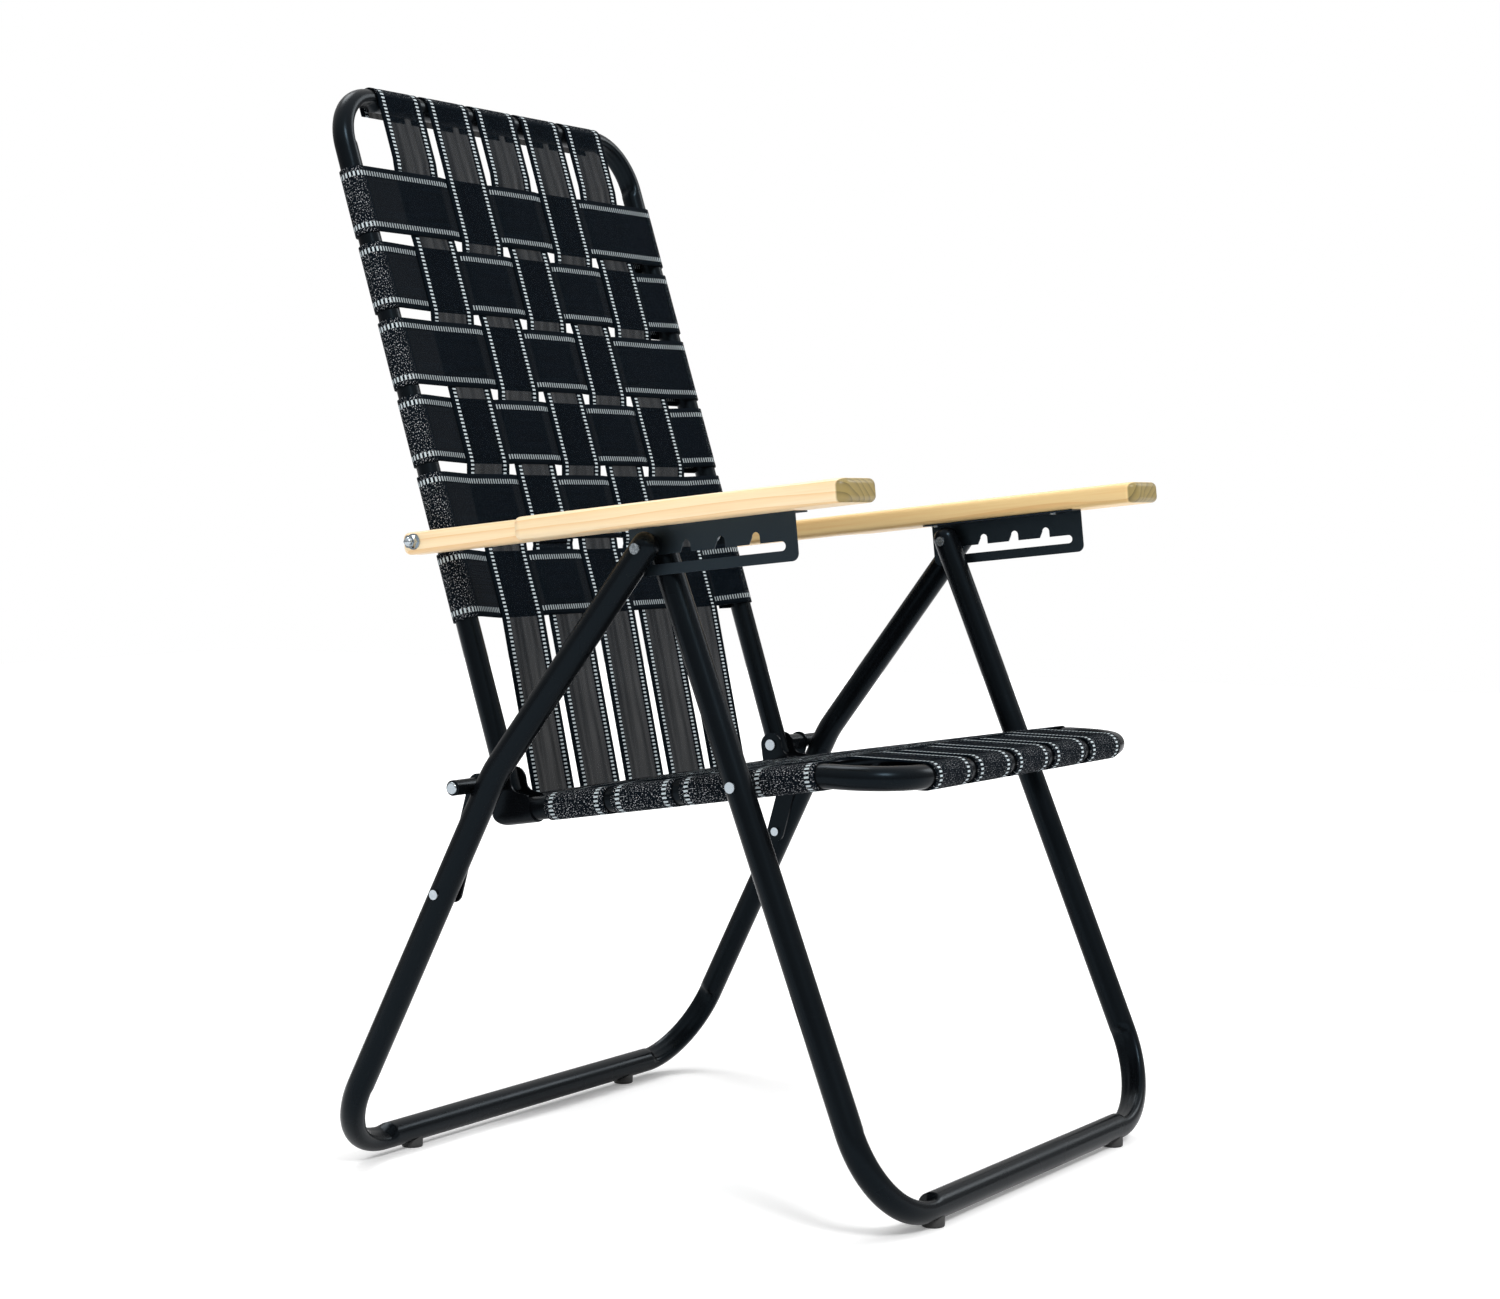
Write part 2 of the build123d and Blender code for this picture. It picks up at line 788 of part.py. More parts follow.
for i in range(strap_count):
    with BuildPart() as upright:
        places = list(reversed(rows))
        levels = [over(i + 1, row_count - j) for j in range(row_count)]
        peak = back_length + strap_mid
        points = [(-back_strap_end, -back_strap_behind)] + woven(places, levels)
        points.append((places[-1] + strap_half + strap_ramp, strap_mid))
        points += [(peak, strap_mid), (peak, -strap_mid), (back_length - strap_tail, -strap_mid)]
        radii = [weave_round] * (len(points) - 2)
        radii[-1] = wrap_round
        radii[-2] = wrap_round
        strap(back_side(strap_places[i]), points, radii)
    save(upright, "back_strap_" + str(i + 1))

# The seat straps dip under the bare cross tube and come up behind it
wrap = rear_tube / 2 + strap_lift + strap_thick / 2
for i in range(strap_count):
    with BuildPart() as seat_strap:
        places = list(reversed(crosses))
        levels = [over(i + 1, cross_count - k) for k in range(cross_count)]
        nose = -seat_front - strap_mid
        points = [(-seat_front + strap_tail, -strap_mid), (nose, -strap_mid), (nose, strap_mid)]
        points.append((places[0] - strap_half - strap_ramp, strap_mid))
        points += woven(places, levels)
        last = (points[-1][0] + dive_start, points[-1][1])
        points[-1] = last
        gap = (tube_in_seat[0] - last[0], tube_in_seat[1] - last[1])
        dive = atan2(-gap[1], gap[0]) + asin(wrap / hypot(gap[0], gap[1]))
        low = tube_in_seat[1] - wrap
        points.append((last[0] + (last[1] - low) / tan(dive), low))
        points.append((tube_in_seat[0] + wrap, low))
        points.append((tube_in_seat[0] + wrap, low + wrap + tuck_rise))
        radii = [weave_round] * (len(points) - 2)
        radii[0] = wrap_round
        radii[1] = wrap_round
        radii[-1] = wrap * 9 / 10
        radii[-2] = wrap * 9 / 10
        strap(seat_side(strap_places[i]), points, radii)
    save(seat_strap, "seat_strap_" + str(i + 1))
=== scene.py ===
"""Folding lounge chair: woven webbing, black coated tube, wooden arms and zinc fasteners.

Lengths are in metres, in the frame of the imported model.
"""

import json
from math import asin, atan2, cos, hypot, pi, radians, sin, tan

import bmesh
import bpy
from mathutils import Matrix, Vector


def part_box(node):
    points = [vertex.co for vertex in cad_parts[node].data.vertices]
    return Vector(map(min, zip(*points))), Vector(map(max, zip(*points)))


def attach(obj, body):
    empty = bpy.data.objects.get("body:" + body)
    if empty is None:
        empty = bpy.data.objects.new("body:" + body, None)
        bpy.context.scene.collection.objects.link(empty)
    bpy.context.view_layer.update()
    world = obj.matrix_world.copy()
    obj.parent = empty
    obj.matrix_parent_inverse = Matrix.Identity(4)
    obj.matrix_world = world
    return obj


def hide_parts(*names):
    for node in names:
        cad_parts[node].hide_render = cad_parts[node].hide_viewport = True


bl_info = {
    "name": "Folding Lounge Chair",
    "version": (1, 0, 0),
    "blender": (4, 5, 0),
    "location": "View3D > Sidebar > Lounge Chair",
    "description": "Builds a webbed folding lounge chair around its packed frame",
    "category": "Object",
}

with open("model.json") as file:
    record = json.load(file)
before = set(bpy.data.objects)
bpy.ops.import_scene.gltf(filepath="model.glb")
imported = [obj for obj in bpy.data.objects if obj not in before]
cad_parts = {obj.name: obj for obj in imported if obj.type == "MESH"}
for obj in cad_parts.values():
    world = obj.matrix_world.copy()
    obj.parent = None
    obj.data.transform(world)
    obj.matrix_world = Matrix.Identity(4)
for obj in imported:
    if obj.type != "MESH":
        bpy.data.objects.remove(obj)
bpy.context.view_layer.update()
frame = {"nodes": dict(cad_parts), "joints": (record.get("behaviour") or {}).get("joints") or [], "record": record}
JOINTS = {joint["name"]: joint for joint in frame["joints"]}


def joint_place(name):
    """(rearward, height) of a joint in the side view."""
    place = JOINTS[name]["pos_m"]
    return Vector((place[1], place[2]))


TOP_PIN = joint_place("rear_leg_fold")
SEAT_PIVOT = joint_place("fold")
HINGE = joint_place("hinge_bolt_turn")


class ChairWebbing(bpy.types.PropertyGroup):
    """Sizes and colours of the straps."""

    width: bpy.props.FloatProperty(
        name="Strap width", description="Width of one strap", default=0.057, unit="LENGTH"
    )
    thickness: bpy.props.FloatProperty(
        name="Strap thickness", description="Thickness of one strap", default=0.0013,
        unit="LENGTH",
    )
    yarn: bpy.props.FloatVectorProperty(
        name="Yarn", description="Colour of the field", subtype="COLOR",
        default=(0.0024, 0.0040, 0.0060),
    )
    stripe: bpy.props.FloatVectorProperty(
        name="Stripe", description="Colour of the dashes", subtype="COLOR",
        default=(0.53, 0.60, 0.63),
    )
    cover: bpy.props.FloatProperty(
        name="Cover", description="How much of the field's face is yarn", default=0.80,
        min=0, max=1,
    )


class ChairTubes(bpy.types.PropertyGroup):
    """Finish of the coated steel."""

    coat: bpy.props.FloatVectorProperty(
        name="Coat", description="Colour of the powder coat", subtype="COLOR",
        default=(0.0026, 0.0031, 0.0038),
    )
    roughness: bpy.props.FloatProperty(
        name="Roughness", description="Roughness of the powder coat", default=0.24,
        min=0, max=1,
    )


class ChairWood(bpy.types.PropertyGroup):
    """Finish of the arms."""

    early: bpy.props.FloatVectorProperty(
        name="Early wood", description="Pale wood between the rings", subtype="COLOR",
        default=(0.97, 0.78, 0.50),
    )
    late: bpy.props.FloatVectorProperty(
        name="Late wood", description="Darker lines of the rings", subtype="COLOR",
        default=(0.80, 0.46, 0.17),
    )
    end: bpy.props.FloatVectorProperty(
        name="End grain", description="Varnished end grain", subtype="COLOR",
        default=(0.30, 0.225, 0.075),
    )
    ring: bpy.props.FloatProperty(
        name="Ring spacing", description="Distance between rings", default=0.0060,
        unit="LENGTH",
    )


class ChairStage(bpy.types.PropertyGroup):
    """Place, aim and lens of the camera."""

    place: bpy.props.FloatVectorProperty(
        name="Camera", description="Place of the camera", subtype="XYZ",
        default=(-2.04773, -1.29221, 0.54735),
    )
    azimuth: bpy.props.FloatProperty(
        name="Azimuth", description="Compass direction of the camera", default=-57.879
    )
    elevation: bpy.props.FloatProperty(
        name="Elevation", description="How far the camera looks down", default=2.930
    )
    lens: bpy.props.FloatProperty(
        name="Focal length", description="Focal length on a 36 mm sensor", default=68.586
    )


# ---- mesh helpers

SAME_PLACE = 0.0001
WELD = 0.00001
ARC_STEP = 0.2
END_RINGS = 6


def new_object(name, edit):
    """An object at the origin, with its place in its mesh."""
    mesh = bpy.data.meshes.new(name)
    edit.to_mesh(mesh)
    edit.free()
    piece = bpy.data.objects.new(name, mesh)
    bpy.context.scene.collection.objects.link(piece)
    return piece


def stand_in(name, edit, material, node, body):
    """A smooth piece that replaces a node of the model and rides on its body."""
    piece = new_object(name, edit)
    for face in piece.data.polygons:
        face.use_smooth = True
    piece.data.materials.append(material)
    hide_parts(node)
    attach(piece, body)
    return piece


class Plane:
    """A side or section plane: local a, b and the direction across it."""

    def __init__(self, origin, along, up):
        self.origin = Vector(origin)
        self.along = Vector(along)
        self.up = Vector(up)
        self.across = self.along.cross(self.up)

    def at(self, a, b, c=0.0):
        return self.origin + self.along * a + self.up * b + self.across * c


def route(points, radii, step):
    """Evenly stepped places along straight runs joined by tangent arcs.

    Each place comes with the way to its arc's centre, or None on a straight run.
    """
    samples = []
    last = Vector(points[0])
    for before, corner, after, radius in zip(points, points[1:], points[2:], radii):
        here = Vector(corner)
        inward = (here - Vector(before)).normalized()
        outward = (Vector(after) - here).normalized()
        turn = inward.angle(outward)
        side = (outward - inward * inward.dot(outward)).normalized()
        begin = here - inward * radius * tan(turn / 2)
        count = max(1, round((begin - last).length / step))
        samples += [(last.lerp(begin, i / count), None) for i in range(count)]
        count = max(2, round(turn * radius / step), round(turn / ARC_STEP))
        for i in range(count):
            angle = turn * i / count
            spoke = side * cos(angle) - inward * sin(angle)
            samples.append((begin + (side - spoke) * radius, spoke))
        last = begin + (side - side * cos(turn) + inward * sin(turn)) * radius
    end = Vector(points[-1])
    count = max(1, round((end - last).length / step))
    samples += [(last.lerp(end, i / count), None) for i in range(count + 1)]
    apart = samples[:1]
    for sample in samples[1:]:
        if (sample[0] - apart[-1][0]).length > SAME_PLACE:
            apart.append(sample)
    return apart


def rounded_end(samples, round_end):
    """Finer places near both ends, each with how far the surface draws in there."""
    rings = []
    first, last = samples[0][0], samples[-1][0]
    for place, spoke in samples:
        if min((place - first).length, (place - last).length) > round_end:
            rings.append((place, spoke, 0.0))
    ahead = (samples[1][0] - first).normalized()
    behind = (samples[-2][0] - last).normalized()
    for k in range(END_RINGS, -1, -1):
        angle = k * pi / (2 * END_RINGS)
        depth, inset = round_end * (1 - cos(angle)), round_end * (1 - sin(angle))
        rings.insert(0, (first + ahead * depth, None, inset))
        rings.append((last + behind * depth, None, inset))
    return rings


def rounded(edit, edges, cut, segments):
    bmesh.ops.bevel(
        edit, geom=edges, offset=cut, offset_type="OFFSET", affect="EDGES", segments=segments,
        profile=0.5, material=-1,
    )


# ---- tubes

TUBE_STEP = 0.004
TUBE_SIDES = 28
PRESS_EDGE = 0.25
PRESS_DEPTH = 0.5
CUT_ROUND = 0.002
LEG_HALF = 0.011
LEG_PAST_PIN = 0.0124
LEG_END_ROUND = 0.009
FRONT_BAR = (-0.1993, 0.0155)
REAR_BAR = (0.3058, 0.0155)
KNEE = (0.1398, 0.3356)
FRONT_TOP_HALF, FRONT_FOOT_HALF = 0.22985, 0.24195
REAR_TOP_HALF, REAR_KNEE_HALF, REAR_FOOT_HALF = 0.2552, 0.25812, 0.2627
FRONT_LEG_BEND = 0.072
REAR_LEG_BEND = 0.066
KNEE_BEND = 0.09
RAIL_BEND = 0.045
DIP_BEND = 0.06


def add_tube(name, node, body, points, radii, pressed, half, material, round_end=CUT_ROUND):
    """A bent tube on a centre line, its tight bends pressed in on their inner side."""
    rings = rounded_end(route(points, radii, TUBE_STEP), round_end)
    last = len(rings) - 1
    edit = bmesh.new()
    bmesh.ops.create_grid(edit, x_segments=TUBE_SIDES, y_segments=last, size=0.5)
    rows = {}
    for vert in edit.verts:
        rows.setdefault(round((vert.co.y + 0.5) * last), []).append(vert)
    # One mark for each bend, in turn; a straight run between bends ends the mark
    marks = iter(pressed)
    keep = None
    tight = []
    for _, spoke, _ in rings:
        if spoke is None:
            keep = None
        elif keep is None:
            keep = next(marks)
        tight.append(bool(keep))
    side = None
    for k, (place, spoke, inset) in enumerate(rings):
        ahead = (rings[min(k + 1, last)][0] - rings[max(k - 1, 0)][0]).normalized()
        if side is None:
            side = ahead.orthogonal()
        side = (side - ahead * side.dot(ahead)).normalized()
        other = ahead.cross(side)
        for vert in rows[k]:
            angle = 2 * pi * (vert.co.x + 0.5)
            way = side * cos(angle) + other * sin(angle)
            reach = half - inset
            if tight[k]:
                facing = max(0.0, way.dot(spoke) - PRESS_EDGE) / (1 - PRESS_EDGE)
                reach *= 1 - PRESS_DEPTH * facing * facing * (3 - 2 * facing)
            vert.co = place + way * reach
    bmesh.ops.remove_doubles(edit, verts=edit.verts, dist=WELD)
    bmesh.ops.holes_fill(edit, edges=edit.edges, sides=0)
    bmesh.ops.recalc_face_normals(edit, faces=edit.faces)
    stand_in(name, edit, material, node, body)


def leg_points(half_widths, line):
    """Both legs and their floor bar, from one top to the other."""
    legs = [
        Vector((half, TOP_PIN.x + place[0], place[1])) for half, place in zip(half_widths, line)
    ]
    legs[0] += (legs[0] - legs[1]).normalized() * LEG_PAST_PIN
    return legs + [Vector((-point.x, point.y, point.z)) for point in reversed(legs)]


# ---- webbing

# Along the back a place is measured up from the hinge, along the seat rearward from its
# pivot. Heights are square to the tubes, from their centre lines.

STRAP_COUNT, ROW_COUNT, CROSS_COUNT = 5, 6, 4
STRAP_PITCH = 0.067
ROW_PITCH = 0.0661
LOWEST_ROW = 0.1635
CROSS_PITCH = 0.065
REARMOST_CROSS = 0.1665
STRAP_STEP = 0.003
STRAP_COLUMNS = 12
RAIL_HALF = 0.2076
TUBE_HALF = 0.0095
LIFT = 0.0002
WEAVE = 0.0007
WRAP = 0.0099
RAMP = 0.012
TAIL = 0.020
SOFT_BEND = 0.024
BACK_LENGTH = 0.5893
BACK_FOOT = -0.011
BACK_LEAN = radians(17.51)
BACK_TAIL = 0.010
ROW_SAGS = (0.0008, 0.0018, 0.0028, 0.0042, 0.0062, 0.0088)
SAG_START = 0.006
STRAP_END_BEHIND = -0.0120
STRAP_END_LOW = -0.0145
SEAT_TILT = radians(8.4)
SEAT_PAST_TUBE = 0.020
SEAT_DIP_START = -0.060
SEAT_FRONT_BAR = Vector((-0.1203, -0.0097))
STRAP_DIP_LATER = 0.001
DIVE_START = 0.003
DIVE_BEND = 0.004
UNDER_BEND = 0.9
SEAT_TUCK = 0.006
BEND_REACH = 2
# Turns of the long straps get weaker painted glints
LONG_GLINT = 0.6
ROW_CLOSED = 0.93

PLACES = [(i - (STRAP_COUNT - 1) / 2) * STRAP_PITCH for i in range(STRAP_COUNT)]
ROWS = [LOWEST_ROW + (ROW_COUNT - 1 - j) * ROW_PITCH for j in range(ROW_COUNT)]
CROSSES = [REARMOST_CROSS - k * CROSS_PITCH for k in range(CROSS_COUNT)]

BACK = Plane(
    (0, HINGE.x, HINGE.y),
    (0, sin(BACK_LEAN), cos(BACK_LEAN)),
    (0, -cos(BACK_LEAN), sin(BACK_LEAN)),
)
SEAT = Plane(
    (0, SEAT_PIVOT.x, SEAT_PIVOT.y),
    (0, cos(SEAT_TILT), -sin(SEAT_TILT)),
    (0, sin(SEAT_TILT), cos(SEAT_TILT)),
)


def over(i, j):
    """1 where long strap i lies over cross strap j, else -1."""
    return 1 if (i + j) % 2 else -1


def strap_mid():
    """Distance from a tube's centre line to the middle of a strap that lies on it."""
    return TUBE_HALF + LIFT + bpy.context.scene.chair_webbing.thickness / 2


def woven(places, levels, sags):
    """Two points for each crossing, above or below the middle of the weave."""
    half, mid = bpy.context.scene.chair_webbing.width / 2, strap_mid()
    points = []
    for place, level, sag in zip(places, levels, sags):
        height = mid + WEAVE * level - sag
        points += [(place - half, height), (place + half, height)]
    return points


def cross_points(levels, sag=0.0):
    """Centre line and bends of a strap that runs from one side rail to the other."""
    mid = strap_mid()
    points = woven(PLACES, levels, [sag] * STRAP_COUNT)
    reach = RAIL_HALF + mid
    leave = points[0][0] - RAMP if sag == 0 else SAG_START - RAIL_HALF
    start = [(-RAIL_HALF + TAIL, -mid), (-reach, -mid), (-reach, mid), (leave, mid)]
    every = start + points + [(-x, y) for x, y in reversed(start)]
    radii = [SOFT_BEND] * (len(every) - 2)
    for corner in (0, 1, -1, -2):
        radii[corner] = WRAP
    return every, radii


def add_strap(node, body, plane, shift, points, radii, glint=1.0, closed=0.0):
    """A flat strap on a centre line, with its own UV map in metres."""
    webbing = bpy.context.scene.chair_webbing
    samples = route(points, radii, STRAP_STEP)
    last = len(samples) - 1
    edit = bmesh.new()
    bmesh.ops.create_grid(edit, x_segments=STRAP_COLUMNS, y_segments=last, size=0.5)
    uv = edit.loops.layers.uv.new("strap")
    lengths = [0.0]
    for (before, _), (after, _) in zip(samples, samples[1:]):
        lengths.append(lengths[-1] + (after - before).length)
    tight = [0.0] * (last + 1)
    for k in range(1, last):
        step = (lengths[k + 1] - lengths[k - 1]) / 2
        turn = (samples[k][0] - samples[k - 1][0]).angle(samples[k + 1][0] - samples[k][0])
        tight[k] = min(1.0, turn / step * WRAP)
    bend = edit.verts.layers.float.new("bend")
    closeness = edit.verts.layers.float.new("closeness")
    places = {}
    for vert in edit.verts:
        share = vert.co.x
        k = round((vert.co.y + 0.5) * last)
        a, b = samples[k][0]
        places[vert.index] = (share * webbing.width, lengths[k])
        near = tight[max(0, k - BEND_REACH):k + BEND_REACH + 1]
        # The bend, scaled by glint, sets where glints are painted and where the turns are dense
        vert[bend] = sum(near) / len(near) * glint
        vert[closeness] = closed
        vert.co = plane.at(a, b, shift + share * webbing.width)
    for face in edit.faces:
        for loop in face.loops:
            loop[uv].uv = places[loop.vert.index]
    bmesh.ops.recalc_face_normals(edit, faces=edit.faces)
    piece = stand_in("webbing_" + node, edit, webbing_material(), node, body)
    wall = piece.modifiers.new("thickness", "SOLIDIFY")
    wall.thickness = webbing.thickness
    wall.offset = 0


def seat_tube_place():
    """The bare cross tube's place in the side view along the seat."""
    low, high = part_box("seat_rear_tube")
    centre = Vector((0, (low.y + high.y) / 2, (low.z + high.z) / 2)) - SEAT.origin
    return Vector((centre.dot(SEAT.along), centre.dot(SEAT.up)))


def section_of(plane, along):
    """Section square to the side rails at a place along them."""
    return Plane(plane.at(along, 0), (1, 0, 0), plane.up)


class CHAIR_OT_back_webbing(bpy.types.Operator):
    """Weaves the straps of the back"""

    bl_idname = "chair.back_webbing"
    bl_label = "Back webbing"

    def execute(self, context):
        mid = strap_mid()
        for j, along in enumerate(ROWS):
            levels = [-over(i + 1, j + 1) for i in range(STRAP_COUNT)]
            points, radii = cross_points(levels, ROW_SAGS[j])
            section = section_of(BACK, along)
            node = "back_row_%d" % (j + 1)
            add_strap(node, "back", section, 0, points, radii, closed=ROW_CLOSED)
        for i, place in enumerate(PLACES):
            levels = [over(i + 1, ROW_COUNT - j) for j in range(ROW_COUNT)]
            peak = BACK_LENGTH + mid
            points = [(STRAP_END_LOW, STRAP_END_BEHIND)]
            points += woven(reversed(ROWS), levels, reversed(ROW_SAGS))
            points.append((ROWS[0] + context.scene.chair_webbing.width / 2 + RAMP, mid))
            points += [(peak, mid), (peak, -mid), (BACK_LENGTH - BACK_TAIL, -mid)]
            radii = [SOFT_BEND] * (len(points) - 2)
            radii[-1] = radii[-2] = WRAP
            node = "back_strap_%d" % (i + 1)
            add_strap(node, "back", BACK, place, points, radii, LONG_GLINT)
        return {"FINISHED"}


class CHAIR_OT_seat_webbing(bpy.types.Operator):
    """Weaves the straps of the seat"""

    bl_idname = "chair.seat_webbing"
    bl_label = "Seat webbing"

    def execute(self, context):
        mid = strap_mid()
        for k, along in enumerate(CROSSES):
            levels = [-over(i + 1, k + 1) for i in range(STRAP_COUNT)]
            points, radii = cross_points(levels)
            section = section_of(SEAT, along)
            node = "seat_cross_strap_%d" % (k + 1)
            add_strap(node, "seat", section, 0, points, radii, closed=ROW_CLOSED)
        tube = seat_tube_place()
        under = tube[1] - mid
        dip = (SEAT_FRONT_BAR - Vector((SEAT_DIP_START, 0))).normalized()
        lift = Vector((dip.y, -dip.x)) * mid
        for i, place in enumerate(PLACES):
            levels = [over(i + 1, CROSS_COUNT - k) for k in range(CROSS_COUNT)]
            points = [SEAT_FRONT_BAR - dip * TAIL - lift]
            points += [SEAT_FRONT_BAR + dip * mid - lift, SEAT_FRONT_BAR + dip * mid + lift]
            points.append((SEAT_DIP_START - STRAP_DIP_LATER, mid))
            points += woven(reversed(CROSSES), levels, [0.0] * CROSS_COUNT)
            # Behind the last crossing the strap dives under the bare tube and turns up
            last = (points[-1][0] + DIVE_START, points[-1][1])
            points[-1] = last
            gap = (tube[0] - last[0], tube[1] - last[1])
            dive = atan2(-gap[1], gap[0]) + asin(mid / hypot(*gap))
            points.append((last[0] + (last[1] - under) / tan(dive), under))
            points.append((tube[0] + mid, under))
            points.append((tube[0] + mid, under + mid + SEAT_TUCK))
            radii = [SOFT_BEND] * (len(points) - 2)
            radii[0] = radii[1] = WRAP
            radii[-1] = radii[-2] = mid * UNDER_BEND
            radii[-3] = DIVE_BEND
            node = "seat_strap_%d" % (i + 1)
            add_strap(node, "seat", SEAT, place, points, radii, LONG_GLINT)
        return {"FINISHED"}


# ---- node helpers

NOISE_LOW, NOISE_HIGH = 0.3, 0.7


def new_material(name):
    """A material with its tree and shader, or with None for both if it is there already."""
    material = bpy.data.materials.get(name)
    if material:
        return material, None, None
    material = bpy.data.materials.new(name)
    material.use_nodes = True
    nodes = material.node_tree.nodes
    nodes.clear()
    output = nodes.new("ShaderNodeOutputMaterial")
    shader = nodes.new("ShaderNodeBsdfPrincipled")
    material.node_tree.links.new(shader.outputs["BSDF"], output.inputs["Surface"])
    return material, material.node_tree, shader


def object_place(tree):
    return tree.nodes.new("ShaderNodeTexCoord").outputs["Object"]


def attribute(tree, name):
    node = tree.nodes.new("ShaderNodeAttribute")
    node.attribute_name = name
    return node.outputs["Fac"]


def split(tree, vector):
    node = tree.nodes.new("ShaderNodeSeparateXYZ")
    tree.links.new(vector, node.inputs[0])
    return node.outputs


def math_node(tree, operation, first, second=None, third=None, clamp=False):
    node = tree.nodes.new("ShaderNodeMath")
    node.operation = operation
    node.use_clamp = clamp
    for socket, value in zip(node.inputs, (first, second, third)):
        if value is None:
            continue
        if isinstance(value, (int, float)):
            socket.default_value = value
        else:
            tree.links.new(value, socket)
    return node.outputs[0]


def noise_node(tree, vector, scale, detail=3.0, roughness=0.5):
    node = tree.nodes.new("ShaderNodeTexNoise")
    node.inputs["Scale"].default_value = scale
    node.inputs["Detail"].default_value = detail
    node.inputs["Roughness"].default_value = roughness
    tree.links.new(vector, node.inputs["Vector"])
    return node.outputs["Fac"]


def scaled(tree, vector, scale, offset=(0, 0, 0)):
    node = tree.nodes.new("ShaderNodeMapping")
    node.inputs["Scale"].default_value = scale
    node.inputs["Location"].default_value = offset
    tree.links.new(vector, node.inputs["Vector"])
    return node.outputs["Vector"]


def mix_colour(tree, share, first, second):
    """A mix of two colours. Inputs 6 and 7 and output 2 are the node's colour sockets."""
    node = tree.nodes.new("ShaderNodeMix")
    node.data_type = "RGBA"
    for index, value in ((0, share), (6, first), (7, second)):
        socket = node.inputs[index]
        if isinstance(value, (int, float)):
            socket.default_value = value
        elif isinstance(value, bpy.types.NodeSocket):
            tree.links.new(value, socket)
        else:
            socket.default_value = (*value, 1)
    return node.outputs[2]


def toned(colour, factor):
    """A colour made darker by a factor below 1, or lighter by one above it."""
    return [channel * factor for channel in colour]


def bump_node(tree, height, strength, distance):
    node = tree.nodes.new("ShaderNodeBump")
    node.inputs["Strength"].default_value = strength
    node.inputs["Distance"].default_value = distance
    tree.links.new(height, node.inputs["Height"])
    return node.outputs["Normal"]


def spread(tree, value, low, high, out_low=0.0, out_high=1.0):
    node = tree.nodes.new("ShaderNodeMapRange")
    for name, number in (
        ("From Min", low), ("From Max", high), ("To Min", out_low), ("To Max", out_high)
    ):
        node.inputs[name].default_value = number
    tree.links.new(value, node.inputs["Value"])
    return node.outputs["Result"]


def varied(tree, noise, low=0.0, high=1.0):
    """Noise stretched over a range from the band in which it mostly lies."""
    return spread(tree, noise, NOISE_LOW, NOISE_HIGH, low, high)


# ---- materials

# A grain is the scale of a noise, in spots per metre. A bump is a strength and a depth.

COOL_SHEEN = (0.55, 0.80, 1.0, 1)
STRIPE_PLACE = 0.0222
STRIPE_HALF = 0.0021
SELVAGE_START = 0.0196
DASH_PITCH = 0.0033
DASH_SHARE = 0.46
PICK_PITCH = 0.0016
WARP_PITCH = 0.0011
YARN_DRAWN = 0.02
STREAK_GRAIN, BROAD_GRAIN = 900, 160
YARN_LIGHTER = 1.9
# Painted glints: pale flecks painted on the turns of the straps
PAINTED_GLINT_DRAWN = 0.45
PAINTED_GLINT_GRAIN = 1500
PAINTED_GLINT_BAND, PAINTED_GLINT_BENDS = (0.63, 0.68), (0.35, 0.8)
PAINTED_GLINT = (0.75, 0.77, 0.80)
PAINTED_GLINT_SHARE = 0.8
# Painted shade of the stripe on floats that lie flat
PAINTED_FLAT_SHADE = 0.52
BROAD_COVER, STREAK_COVER = (-0.05, 0.07), (0.06, -0.06)
DENSE_BENDS = (0.20, 0.30)
GAP_DEPTH = 0.09
WEBBING_BUMP = (0.6, 0.0004)
WEBBING_ROUGHNESS = 0.62
WEBBING_SHEEN = 0.012


